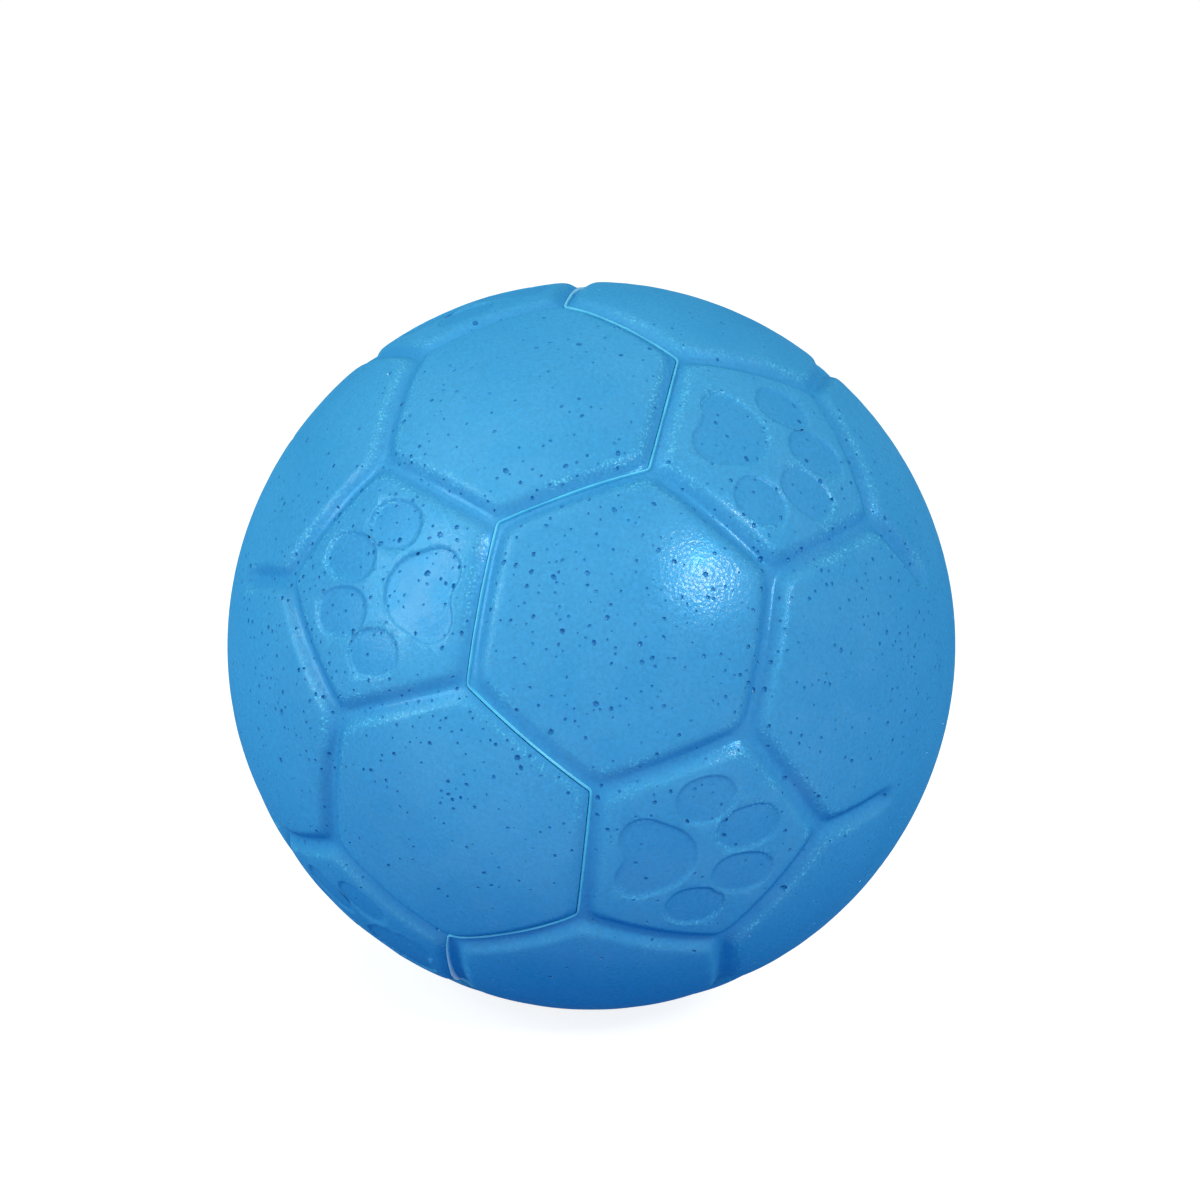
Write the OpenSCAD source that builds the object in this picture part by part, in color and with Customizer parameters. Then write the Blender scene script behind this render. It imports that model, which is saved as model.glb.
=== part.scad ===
// Dog toy soccer ball: two moulded foam-rubber cover halves round a foam core.
// The panels are those of a football, with a plain round cap on each pole. The two halves meet along a
// zigzag that follows the grooves round the ball, a little askew to them.
// Millimetres, +Z up, origin at the ball's centre, mould axis along X.

/* [Ball] */
// Diameter over the panels
ball_d = 75; // [60:1:90]
// Thickness of a cover half, from the panels' tops to the foam core
cover_wall = 7; // [5:0.5:12]
// Room round the foam core for its glue
core_room = 0.1; // [0.05:0.05:0.3]

/* [Grooves] */
// Width of a groove from lip to lip
groove_w = 3.2; // [2:0.1:4]
// Width of a groove's floor
groove_floor_w = 0.8; // [0.4:0.1:1.6]
// Depth of a groove below the panels
groove_depth = 0.9; // [0.5:0.1:1.5]

/* [Pole caps] */
// Diameter of the plain round cap on each pole of the mould, where the grooves run out
pole_cap_d = 36; // [30:0.5:40]

/* [Seam] */
// Thickness of the bond layer, measured along the mould axis
bond_t = 0.4; // [0.2:0.1:1]
// Height that the bond's rim stands proud of the covers
bond_rim_h = 0.3; // [0.1:0.1:0.6]
// How far the seam lies from the grooves' middles, on the left half's side, halfway up the ball
seam_shift = 0.45; // [0.3:0.05:1.2]
// How much further over than that it lies at the bottom of the ball, and less far at the top
seam_tilt = 0.5; // [0:0.05:0.6]

/* [Paw prints] */
// Depth of the prints
paw_depth = 0.2; // [0.2:0.1:0.7]
// Width of the pad
pad_w = 9.1; // [7:0.1:10]
// Distance from the panel's middle back to the pad's heel
pad_heel = 8.3; // [7.5:0.1:8.6]
// Distance from the panel's middle back to the pad's tip
pad_tip = 0.8; // [0.4:0.1:1.5]
// Radius of the two lobes at the pad's heel
pad_lobe_r = 2.3; // [1.8:0.1:2.8]
// Radius of the pad's tip
pad_tip_r = 3.8; // [2.4:0.1:4]
// Depth of the notch in the pad's heel
heel_notch = 0.5; // [0.1:0.1:0.8]
// Radius of that notch
heel_notch_r = 3; // [2:0.5:5]
// Width of a toe
toe_w = 4.7; // [3.6:0.1:5]
// Length of the two inner toes
inner_toe_l = 6.3; // [5:0.1:7]
// Length of the two outer toes
outer_toe_l = 5.8; // [5:0.1:6.4]
// Distance of the inner toes ahead of the panel's middle
inner_toe_fore = 4.15; // [3.6:0.05:4.6]
// Distance of the inner toes from the print's centre line
inner_toe_side = 2.6; // [2.5:0.05:3]
// Distance of the outer toes behind the panel's middle
outer_toe_back = 0.25; // [-0.4:0.05:0.8]
// Distance of the outer toes from the print's centre line
outer_toe_side = 6.1; // [5.8:0.05:6.3]
// Angle that each toe splays outwards
toe_splay = 7; // [0:1:12]

/* [Hidden] */
$fn = 96;
ball_r = ball_d / 2;
hollow_r = ball_r - cover_wall;
core_r = hollow_r - core_room;
floor_r = ball_r - groove_depth;
// Room that the cutting shapes reach past the ball
reach = ball_r / 4;
// Flats along each groove wall
wall_flats = 3;
// How far a groove wall runs out for each millimetre that it rises
wall_slope = (groove_w - groove_floor_w) / 2 / groove_depth;
// Depth that a panel's foot is let into the body below the grooves' floors
foot_depth = groove_floor_w / 4 / wall_slope;

// Place along the mould axis, and distance from it, of the ten ring pentagons on a unit ball
ring_x = 1 / sqrt(5);
ring_r = 2 / sqrt(5);
// Angle round the mould axis from one ring pentagon to the next one, in the other half
ring_step = 36;
// Angle of the first ring pentagon, in the left half
ring_start = 18;
// The panels beside the seam lie within this distance of the unit ball's middle
seam_within_x = 0.5;
// A place beyond the unit ball's poles
past_pole_x = 2;

function unit(v) = v / norm(v);

// Ring pentagon k of ten, counted round the axis: even ones are in the left half
function ring_angle(k) = ring_start + ring_step * k;
function ring_pent(k) = [
    (k % 2 == 0 ? -1 : 1) * ring_x,
    ring_r * cos(ring_angle(k)),
    ring_r * sin(ring_angle(k))
];

// The pentagons' middles are the corners of an icosahedron, with one on each mould pole
pents = [[1, 0, 0], [-1, 0, 0], for (k = [0 : 9]) ring_pent(k)];
pent_ids = [0 : len(pents) - 1];

// Two pentagons are neighbours when their middles are less than a right angle apart
function neighbours(i, j) = pents[i] * pents[j] > 0 && i != j;

// The neighbour of both i and j on the left of the way from i to j
function left_of(i, j) = [
    for (k = pent_ids)
        if (neighbours(i, k) && neighbours(j, k) && cross(pents[i], pents[j]) * pents[k] > 0) k
][0];

// The n neighbours of pentagon i in order round it, from neighbour j
function ring_of(i, j, n) = n == 0 ? [] : [j, each ring_of(i, left_of(i, j), n - 1)];

// The corner of pentagon a that points at pentagon b, a third of the way there
function corner(a, b) = unit(2 * a + b);

// Corners of a pentagon, and of the hexagon between three pentagons, in order round the panel
function pent_corners(i) =
    let (first = [for (j = pent_ids) if (neighbours(i, j)) j][0])
        [for (j = ring_of(i, first, 5)) corner(pents[i], pents[j])];
function hex_corners(a, b, c) = [
    for (side = [[a, b], [b, c], [c, a]])
        each [corner(side[0], side[1]), corner(side[1], side[0])]
];
hexes = [
    for (i = pent_ids, j = pent_ids)
        if (i < j && neighbours(i, j))
            let (k = left_of(i, j))
                if (i < k) [pents[i], pents[j], pents[k]]
];

// Half width of a groove at distance r from the ball's centre
function half_groove(r) = groove_floor_w / 2 + wall_slope * (r - floor_r);

// Outline of a panel at distance r from the centre, where the grooves are half_w wide on each side:
// a point inside each corner, and points along each side between two corners
function panel_outline(corners, r, half_w) =
    let (
        n = len(corners),
        normals = [for (i = [0 : n - 1]) unit(cross(corners[i], corners[(i + 1) % n]))],
        inner = [
            for (i = [0 : n - 1])
                let (
                    a = normals[(i + n - 1) % n],
                    b = normals[i],
                    shift = (a + b) / (1 + a * b) * half_w / r
                )
                    r * (corners[i] * sqrt(1 - shift * shift) + shift)
        ]
    )
    [
        for (i = [0 : n - 1], step = [0 : wall_flats - 1])
            let (
                mix = inner[i] + (inner[(i + 1) % n] - inner[i]) * step / wall_flats,
                flat = mix - (mix * normals[i]) * normals[i]
            )
                sqrt(r * r - half_w * half_w) * unit(flat) + half_w * normals[i]
    ];

// Block with a panel's sloping side walls, from below the grooves' floors to clear of the ball
module panel_block(corners, grow) {
    low_r = floor_r - foot_depth;
    top_r = ball_r + reach / 4;
    low = panel_outline(corners, low_r + grow, half_groove(low_r));
    top = panel_outline(corners, top_r + grow, half_groove(top_r));
    n = len(low);
    middle = unit([for (axis = [0 : 2]) [for (c = corners) c[axis]] * [for (c = corners) 1]]);
    polyhedron(
        [each low, each top, (low_r - foot_depth) * middle, (top_r + reach) * middle],
        [
            for (i = [0 : n - 1])
                let (j = (i + 1) % n)
                    each [[i, n + i, n + j], [i, n + j, j], [2 * n, i, j], [2 * n + 1, n + j, n + i]]
        ]
    );
}

// A corner of the seam: a groove crossing beside ring pentagon k, moved over the ball into the left
// half, further at the bottom than at the top. The hexagon between that pentagon and its two ring
// neighbours lies in the other half.
function seam_corner(k, way) =
    let (
        crossing = corner(ring_pent(k), ring_pent(k + way)),
        hex = unit(ring_pent(k - 1) + ring_pent(k) + ring_pent(k + 1)),
        leftwards = (k % 2 == 0 ? -1 : 1) * unit(hex - (hex * crossing) * crossing)
    )
    unit(crossing + leftwards * (seam_shift - seam_tilt * crossing.z) / ball_r);
seam = [for (k = [1 : 10], way = [-1, 1]) seam_corner(k, way)];

// Turns the right half into the left half, half round about Y
module other_half() {
    rotate([0, 180, 0])
        children();
}

// Round cap on the left pole: its edge slopes down into the grooves as their walls do, and its round
// begins midway between two of them
module pole_cap() {
    lean = asin(pole_cap_d / 2 / ball_r);
    run = [-cos(lean), -sin(lean)] + wall_slope * [-sin(lean), cos(lean)];
    low = ball_r * [cos(lean), sin(lean)] + (groove_depth + 2 * foot_depth) * run;
    height = ball_r + reach - low.x;
    intersection() {
        sphere(r = ball_r);
        rotate([0, -90, 0])
            rotate(ring_step / 2)
                translate([0, 0, low.x])
                    cylinder(h = height, r1 = low.y, r2 = low.y + height * run.y / run.x);
    }
}

// The ball's body with its grooves, grown outwards by grow, with the panels whose middles lie
// between from_x and to_x along the mould axis of a unit ball
module body(grow, from_x, to_x) {
    sphere(r = floor_r + grow);
    for (i = pent_ids)
        if (abs(pents[i].x) < ring_r && pents[i].x > from_x && pents[i].x < to_x)
            intersection() {
                panel_block(pent_corners(i), grow);
                sphere(r = ball_r + grow);
            }
    for (h = hexes)
        let (middle = unit(h[0] + h[1] + h[2]))
            if (middle.x > from_x && middle.x < to_x)
                intersection() {
                    panel_block(hex_corners(h[0], h[1], h[2]), grow);
                    sphere(r = ball_r + grow);
                }
    if (from_x < -1)
        pole_cap();
    if (to_x > 1)
        other_half()
            pole_cap();
}

// All that lies beside the seam: right of it for side 1, left of it for side -1
module beside_seam(side) {
    far = 2 * ball_r;
    count = len(seam);
    points = [[0, 0, 0], [side * 1.5 * far, 0, 0], for (s = seam) far * s];
    faces = [
        for (i = [0 : count - 1])
            let (
                here = 2 + i,
                next = 2 + (i + 1) % count,
                a = side > 0 ? here : next,
                b = side > 0 ? next : here
            )
                each [[0, a, b], [1, b, a]]
    ];
    translate([side * bond_t / 2, 0, 0])
        polyhedron(points, faces);
}

// Heart-shaped pad: two heel lobes and a round tip, joined along their common tangents
module pad() {
    lobe = [pad_lobe_r - pad_heel, pad_w / 2 - pad_lobe_r];
    tip = [-pad_tip - pad_tip_r, 0];
    run = tip - lobe;
    lean = atan2(run.y, run.x) + acos((pad_lobe_r - pad_tip_r) / norm(run));
    out = [cos(lean), sin(lean)];
    upper = [[-pad_heel, 0], [-pad_heel, lobe.y], lobe, lobe + pad_lobe_r * out, tip + pad_tip_r * out];
    difference() {
        union() {
            for (side = [-1, 1])
                translate([lobe.x, side * lobe.y])
                    circle(r = pad_lobe_r);
            translate(tip)
                circle(r = pad_tip_r);
            polygon([
                each upper,
                for (i = [len(upper) - 1 : -1 : 1]) [upper[i].x, -upper[i].y]
            ]);
        }
        translate([heel_notch - pad_heel - heel_notch_r, 0])
            circle(r = heel_notch_r);
    }
}

// Oval toe: a bar with round ends, splayed outwards from the print's centre line
module toe(place, length, side) {
    straight = length - toe_w;
    translate([place.x, side * place.y])
        rotate(side * toe_splay) {
            square([straight, toe_w], center = true);
            for (end = [-1, 1])
                translate([end * straight / 2, 0])
                    circle(d = toe_w);
        }
}

module paw_outline() {
    pad();
    for (side = [-1, 1]) {
        toe([inner_toe_fore, inner_toe_side], inner_toe_l, side);
        toe([-outer_toe_back, outer_toe_side], outer_toe_l, side);
    }
}

// Cuts a print in right-half ring pentagon k, toes towards the pole, its floor round the ball's centre
module paw_cut(k) {
    rotate([ring_angle(k) - 90, 0, 0])
        rotate([0, asin(ring_x), 0])
            difference() {
                translate([0, 0, hollow_r])
                    linear_extrude(cover_wall + reach)
                        paw_outline();
                sphere(r = ball_r - paw_depth);
            }
}

// Cover half on one side of the seam: right for side 1, left for side -1
module cover(side) {
    difference() {
        intersection() {
            if (side > 0)
                body(0, -seam_within_x, past_pole_x);
            else
                body(0, -past_pole_x, seam_within_x);
            beside_seam(side);
        }
        sphere(r = hollow_r);
        for (k = [1 : 2 : 9])
            if (side > 0)
                paw_cut(k);
            else
                other_half()
                    paw_cut(k);
    }
}

module right_cover() {
    color("#3f97d6")
        cover(1);
}

module left_cover() {
    color("#4aa3de")
        cover(-1);
}

// Cement between the covers' edges, with a rim that stands proud all round the ball
module seam_bond() {
    color("#57c0f0")
        difference() {
            body(bond_rim_h, -seam_within_x, seam_within_x);
            beside_seam(1);
            beside_seam(-1);
            sphere(r = hollow_r);
        }
}

module foam_core() {
    color("#d9dee3")
        sphere(r = core_r);
}

left_cover();
right_cover();
seam_bond();
foam_core();
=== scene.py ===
"""Looks of a dog toy soccer ball: two foam-rubber cover halves, the rim of their seam and a foam core.

Lengths are in millimetres in the shape code, and become metres when a mesh is made.
Directions from the ball's centre are unit vectors, in arrays whose last axis is x, y, z.
"""

import logging
import math
from dataclasses import dataclass, field
from enum import Enum

import bpy
import numpy as np
from mathutils import Matrix, Quaternion, Vector


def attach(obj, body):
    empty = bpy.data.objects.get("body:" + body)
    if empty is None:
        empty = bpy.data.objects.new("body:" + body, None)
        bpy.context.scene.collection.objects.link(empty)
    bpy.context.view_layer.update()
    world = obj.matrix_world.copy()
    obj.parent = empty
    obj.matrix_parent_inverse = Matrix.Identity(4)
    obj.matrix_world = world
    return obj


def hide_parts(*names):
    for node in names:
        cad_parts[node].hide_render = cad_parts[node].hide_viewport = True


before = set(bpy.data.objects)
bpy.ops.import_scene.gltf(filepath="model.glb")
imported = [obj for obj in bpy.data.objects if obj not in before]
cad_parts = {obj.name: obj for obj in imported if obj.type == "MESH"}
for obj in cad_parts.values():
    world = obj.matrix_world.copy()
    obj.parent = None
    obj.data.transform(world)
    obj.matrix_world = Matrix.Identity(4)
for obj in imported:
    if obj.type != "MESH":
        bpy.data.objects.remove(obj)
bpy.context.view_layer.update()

MM = 0.001
BALL_R = 37.5  # over the panels, in millimetres
LOG = logging.getLogger("ball")

Triple = tuple[float, float, float]
Rgba = tuple[float, float, float, float]
Corner = tuple[int, int]
Socket = bpy.types.NodeSocket


class Half(Enum):
    """The two halves of the mould, by the sign of their pole along X."""

    LEFT = -1
    RIGHT = 1


def unit(v: np.ndarray) -> np.ndarray:
    """Vectors scaled to length one, along the last axis."""
    return v / np.linalg.norm(v, axis=-1, keepdims=True)


def soft_ramp(x: np.ndarray, foot: float, top: float) -> np.ndarray:
    """Rises from 0 at x = 0 to 1 at x = 1, rounded at both ends.

    Half the difference of two hyperbolas: (sqrt(x^2 + foot^2) - sqrt((x - 1)^2 + top^2) + 1) / 2.

    Args:
        x: Place along the ramp.
        foot: Rounding at the ramp's foot, as a share of its run.
        top: Rounding at its top.

    Returns:
        Height along the ramp, in x's shape.
    """
    return (np.sqrt(x * x + foot * foot) - np.sqrt((x - 1) ** 2 + top * top) + 1) / 2


def ripple(q: np.ndarray, seed: int, waves: float) -> np.ndarray:
    """Smooth unevenness between about -1 and 1 over directions q.

    Eight sine waves with seeded directions and phases: sum(sin(k . q + p)) / 4.

    Args:
        q: Directions, any shape with a last axis of three.
        seed: Seed of the waves.
        waves: How many radians a wave turns over one ball radius.

    Returns:
        The unevenness at each direction.
    """
    count = 8
    rng = np.random.default_rng(seed)
    k = unit(rng.normal(size=(count, 3))) * waves * rng.uniform(0.6, 1.3, (count, 1))
    phase = rng.uniform(0, 2 * math.pi, count)
    return np.sin(q @ k.T + phase).sum(-1) / 4


def new_mesh(name: str, points: np.ndarray, quads: np.ndarray, tris: np.ndarray) -> bpy.types.Object:
    """Makes an object at the origin from points in millimetres.

    Args:
        name: Name of the piece.
        points: Corner points, n by 3.
        quads: Indices of the four-sided faces, m by 4.
        tris: Indices of the three-sided faces, k by 3.

    Returns:
        The object, linked to the scene.
    """
    mesh = bpy.data.meshes.new(name)
    sizes = np.concatenate([np.full(len(quads), 4), np.full(len(tris), 3)])
    loops = np.concatenate([quads.ravel(), tris.ravel()])
    mesh.vertices.add(len(points))
    mesh.vertices.foreach_set("co", (points * MM).astype(np.float32).ravel())
    mesh.loops.add(len(loops))
    mesh.loops.foreach_set("vertex_index", loops.astype(np.int32))
    mesh.polygons.add(len(sizes))
    starts = np.concatenate([[0], np.cumsum(sizes)[:-1]])
    mesh.polygons.foreach_set("loop_start", starts.astype(np.int32))
    mesh.update(calc_edges=True)
    mesh.validate()
    piece = bpy.data.objects.new(name, mesh)
    bpy.context.scene.collection.objects.link(piece)
    return piece


def weld(points: np.ndarray, quads: np.ndarray) -> tuple[np.ndarray, np.ndarray, np.ndarray]:
    """Merges points that coincide, and turns quads that lost a corner into triangles.

    Args:
        points: Corner points in millimetres, with repeats.
        quads: Indices of the faces into them.

    Returns:
        The merged points, the quads that are left, and the triangles.
    """
    steps_per_mm = 20000
    keys = np.round(points * steps_per_mm).astype(np.int64)
    _, first, back = np.unique(keys, axis=0, return_index=True, return_inverse=True)
    faces = back.reshape(-1)[quads]
    following = np.roll(faces, -1, axis=1)
    lost = (faces == following).sum(1)
    whole = faces[lost == 0]
    single = faces[lost == 1]
    keep = single != np.roll(single, -1, axis=1)
    return points[first], whole, single[keep].reshape(-1, 3)


def grid_quads(rows: int, columns: int, closed: bool = False) -> np.ndarray:
    """Faces of a grid of points in row order.

    Args:
        rows: Rows of points.
        columns: Columns of points.
        closed: Whether the last column joins the first.

    Returns:
        Indices of the quads, from row r to r + 1 and column c to c + 1.
    """
    last = columns if closed else columns - 1
    r, c = np.meshgrid(np.arange(rows - 1), np.arange(last), indexing="ij")
    d = (c + 1) % columns
    corners = [r * columns + c, r * columns + d, (r + 1) * columns + d, (r + 1) * columns + c]
    return np.stack(corners, -1).reshape(-1, 4)


@dataclass(frozen=True)
class Panel:
    """One panel of the ball: its corners in order and its half.

    A corner (i, j) is the one of pentagon i that points at pentagon j.
    """

    corners: tuple[Corner, ...]
    half: Half


@dataclass
class PanelPattern:
    """The football's twelve pentagons and twenty hexagons.

    A pentagon lies on each pole of the mould axis, X, and ten lie in a ring, by turns in the two halves.
    """

    ring_start: float = 18.0
    ring_step: float = 36.0
    pents: np.ndarray = field(init=False)
    panels: list[Panel] = field(init=False)

    def __post_init__(self) -> None:
        """Works out the pentagons' middles, an icosahedron's corners, and the panels round them."""
        angles = np.radians(self.ring_start + self.ring_step * np.arange(10))
        sides = np.where(np.arange(10) % 2 == 0, -1.0, 1.0)
        ring = np.stack([sides, 2 * np.cos(angles), 2 * np.sin(angles)], -1) / math.sqrt(5)
        self.pents = np.vstack([[[1, 0, 0], [-1, 0, 0]], ring])
        self.panels = [self._pentagon(i) for i in range(12)] + self._hexagons()

    def _near(self, i: int) -> list[int]:
        """The five pentagons next to pentagon i, in order round it.

        Args:
            i: Number of the pentagon.

        Returns:
            The numbers of its neighbours.
        """
        p = self.pents
        near = [j for j in range(12) if j != i and p[i] @ p[j] > 0]
        across = unit(p[near[0]] - (p[near[0]] @ p[i]) * p[i])
        along = np.cross(p[i], across)
        return sorted(near, key=lambda j: math.atan2(p[j] @ along, p[j] @ across) % (2 * math.pi))

    def _pentagon(self, i: int) -> Panel:
        """Pentagon i as a panel."""
        return Panel(tuple((i, j) for j in self._near(i)), Half(int(np.sign(self.pents[i][0]))))

    def _hexagons(self) -> list[Panel]:
        """The hexagons, one between each three pentagons that are next to each other.

        Returns:
            The hexagons as panels.
        """
        found = []
        for i in range(12):
            near = self._near(i)
            for j, k in zip(near, near[1:] + near[:1]):
                if i < j and i < k:
                    x = self.pents[[i, j, k]].sum(0)[0]
                    corners = ((i, j), (j, i), (j, k), (k, j), (k, i), (i, k))
                    found.append(Panel(corners, Half(int(np.sign(x)))))
        return found

    def crossing(self, corner: Corner) -> np.ndarray:
        """Direction of the groove crossing at a corner, a third of the way from pentagon i to j."""
        i, j = corner
        return unit(2 * self.pents[i] + self.pents[j])

    def ring(self, k: int) -> int:
        """Number of ring pentagon k, counted round the axis: even ones are in the left half."""
        return 2 + k % 10

    def groove_ends(self) -> tuple[np.ndarray, np.ndarray]:
        """Directions of the two ends of each of the ninety grooves.

        Returns:
            The starts and the ends, each ninety by 3.
        """
        pairs = {
            frozenset((a, b))
            for panel in self.panels
            for a, b in zip(panel.corners, panel.corners[1:] + panel.corners[:1])
        }
        ordered = sorted(tuple(sorted(pair)) for pair in pairs)
        starts = np.array([self.crossing(a) for a, _ in ordered])
        ends = np.array([self.crossing(b) for _, b in ordered])
        return starts, ends


@dataclass
class BallShape:
    """The moulded surface: its radius in each direction from the ball's centre."""

    pattern: PanelPattern
    ball_r: float = BALL_R
    hollow_r: float = 30.5
    groove_depth: float = 0.85
    floor_half: float = 0.3
    lip_half: float = 1.5
    foot_round: float = 0.16
    lip_round: float = 0.3
    corner_blend: float = 3.2
    cap_r: float = 18.0
    cap_slope_w: float = 1.1
    cap_line: float = 0.07
    cap_line_w: float = 0.22
    waver: float = 0.06
    unevenness: float = 0.05
    shallow_at: Triple = (0.0, -1.0, -0.05)
    shallow_reach: float = 0.26
    shallow_share: float = 0.62
    _starts: np.ndarray = field(init=False)
    _ends: np.ndarray = field(init=False)

    def __post_init__(self) -> None:
        """Keeps the grooves' ends at hand."""
        self._starts, self._ends = self.pattern.groove_ends()

    def groove_distance(self, q: np.ndarray) -> np.ndarray:
        """Distance from each direction to the middle of the nearest groove, in millimetres.

        The angle to each groove's great-circle arc, or to its nearer end, times the ball's radius.
        The ninety distances are joined by a soft minimum, -log(sum(exp(-b d))) / b, which rounds
        the panels' corners.

        Args:
            q: Directions, n by 3.

        Returns:
            The distances, n long, a little below zero at the crossings.
        """
        a, b = self._starts, self._ends
        normal = unit(np.cross(a, b))
        after_a = np.cross(normal, a)
        before_b = np.cross(b, normal)
        block_size = 8000
        parts = []
        for block in np.array_split(q, max(1, len(q) // block_size)):
            beside = np.arcsin(np.clip(np.abs(block @ normal.T), 0, 1))
            ends = np.arccos(np.clip(np.maximum(block @ a.T, block @ b.T), -1, 1))
            within = (block @ after_a.T > 0) & (block @ before_b.T > 0)
            away = np.where(within, beside, ends) * self.ball_r
            near = away.min(1)
            blend = np.exp(-self.corner_blend * (away - near[:, None])).sum(1)
            parts.append(near - np.log(blend) / self.corner_blend)
        return np.concatenate(parts)

    def cap_distance(self, q: np.ndarray) -> np.ndarray:
        """Distance of each direction outside the edge of the nearer pole's cap, along the ball."""
        edge = math.asin(self.cap_r / self.ball_r)
        return (np.arccos(np.clip(np.abs(q[:, 0]), -1, 1)) - edge) * self.ball_r

    def fullness(self, q: np.ndarray) -> np.ndarray:
        """Share of the full groove depth, less beside the seam in front, where the mould filled more."""
        apart = np.linalg.norm(q - np.array(self.shallow_at), axis=-1)
        return 1 - self.shallow_share * np.exp(-((apart / self.shallow_reach) ** 2))

    def radius(self, q: np.ndarray) -> np.ndarray:
        """Radius of the surface in each direction.

        The share that the surface has sunk into a groove is one less a soft ramp from the groove's
        floor to its lip, times a soft ramp that brings it up again at a pole's cap, times the groove's
        fullness. The cap's edge is a fine line, exp(-(a / cap_line_w)^2) deep.

        Args:
            q: Directions, n by 3.

        Returns:
            The radii in millimetres.
        """
        away = self.groove_distance(q) + self.waver * ripple(q, seed=11, waves=9.0)
        outside = self.cap_distance(q)
        climb = (away - self.floor_half) / (self.lip_half - self.floor_half)
        rise = soft_ramp(climb, self.foot_round, self.lip_round)
        sunk = (1 - rise) * soft_ramp(outside / self.cap_slope_w, self.foot_round, self.lip_round)
        sunk = sunk * self.fullness(q)
        line = self.cap_line * np.exp(-((outside / self.cap_line_w) ** 2))
        uneven = self.unevenness * ripple(q, seed=5, waves=7.0)
        return self.ball_r - self.groove_depth * sunk - line + uneven


@dataclass
class SeamLine:
    """The line that the two halves meet on: a zigzag along the grooves.

    It lies a little askew, in the grooves' middles at the top and on the left half's side of them below.
    """

    pattern: PanelPattern
    ball_r: float = BALL_R
    shift: float = 0.45
    tilt: float = 0.5
    corner_run: float = 0.4
    gap_half: float = 0.17
    columns: int = 24
    evenness: float = 0.35
    corners: list[Corner] = field(init=False)
    line: np.ndarray = field(init=False)
    across: np.ndarray = field(init=False)

    def __post_init__(self) -> None:
        """Works out the line's corners, its rounded points, and the directions across it."""
        p = self.pattern
        turns = [(k, way) for k in range(1, 11) for way in (-1, 1)]
        self.corners = [(p.ring(k), p.ring(k + way)) for k, way in turns]
        sharp = np.array([self._corner(k, way) for k, way in turns])
        self.line = self._rounded(sharp).reshape(-1, 3)
        along = unit(np.roll(self.line, -1, axis=0) - np.roll(self.line, 1, axis=0))
        self.across = unit(np.cross(self.line, along))

    def spread(self) -> np.ndarray:
        """Places of the columns along a panel's side, from 0 to 1, closer together near its ends."""
        u = np.linspace(0, 1, self.columns + 1)
        return self.evenness * u + (1 - self.evenness) * (0.5 - 0.5 * np.cos(math.pi * u))

    def _corner(self, k: int, way: int) -> np.ndarray:
        """The groove crossing beside ring pentagon k, moved over the ball to the seam.

        Args:
            k: Number of the pentagon in the ring.
            way: Which of its ring neighbours the crossing points at: -1 for the last, 1 for the next.

        Returns:
            The seam's sharp corner there, as a direction.
        """
        p = self.pattern
        crossing = p.crossing((p.ring(k), p.ring(k + way)))
        hexagon = unit(p.pents[[p.ring(k - 1), p.ring(k), p.ring(k + 1)]].sum(0))
        leftwards = (1 if k % 2 else -1) * unit(hexagon - (hexagon @ crossing) * crossing)
        return unit(crossing + leftwards * (self.shift - self.tilt * crossing[2]) / self.ball_r)

    def _rounded(self, sharp: np.ndarray) -> np.ndarray:
        """Points along each side of the zigzag, from the middle of one rounded corner to the next.

        Within the corner's run the line follows a quadratic curve, (1-v)^2 A + 2v(1-v) B + v^2 C, from
        A on one side to C on the other round the sharp corner B. Between the runs it is straight.

        Args:
            sharp: The sharp corners, in order.

        Returns:
            Directions, sides by columns by 3, each side without its last point.
        """
        run = self.corner_run / self.ball_r
        after = np.roll(sharp, -1, axis=0)
        length = np.linalg.norm(after - sharp, axis=1)
        ahead = (after - sharp) / length[:, None]
        behind = -np.roll(ahead, 1, axis=0)
        x = self.spread()[None, :-1, None] * length[:, None, None]

        def curve(v: np.ndarray, b: np.ndarray, back: np.ndarray, on: np.ndarray) -> np.ndarray:
            """The quadratic curve round corners b, from run along back to run along on."""
            b, back, on = b[:, None], back[:, None], on[:, None]
            return b + run * ((1 - v) ** 2 * back + v**2 * on)

        start = curve(0.5 + 0.5 * x / run, sharp, behind, ahead)
        rest = x - (length[:, None, None] - run)
        end = curve(0.5 * rest / run, after, -ahead, np.roll(ahead, -1, axis=0))
        straight = sharp[:, None] + ahead[:, None] * x
        return unit(np.where(x < run, start, np.where(rest > 0, end, straight)))

    def edge(self, half: Half) -> np.ndarray:
        """The line moved across to the edge of one half, closed by its first point."""
        moved = unit(self.line + half.value * self.across * self.gap_half / self.ball_r)
        return np.vstack([moved, moved[:1]])

    def side(self, half: Half, a: Corner, b: Corner) -> np.ndarray | None:
        """Points of a half's edge along one side of the seam.

        Args:
            half: The half.
            a: The panel corner that the side starts from.
            b: The panel corner that it runs to.

        Returns:
            The points from a to b, or None where no side of the seam joins them.
        """
        if a not in self.corners or b not in self.corners:
            return None
        i, j = self.corners.index(a), self.corners.index(b)
        edge = self.edge(half)
        count = len(self.corners)
        if (i + 1) % count == j:
            return edge[i * self.columns : (i + 1) * self.columns + 1]
        if (j + 1) % count == i:
            return edge[j * self.columns : (j + 1) * self.columns + 1][::-1]
        return None

    def apex(self, half: Half, corner: Corner) -> np.ndarray:
        """Where a panel corner lies on a half's mesh.

        Args:
            half: The half.
            corner: The panel corner.

        Returns:
            Its direction: on the half's edge where it is beside the seam, else on the crossing.
        """
        if corner in self.corners:
            return self.edge(half)[self.corners.index(corner) * self.columns]
        return self.pattern.crossing(corner)

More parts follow.
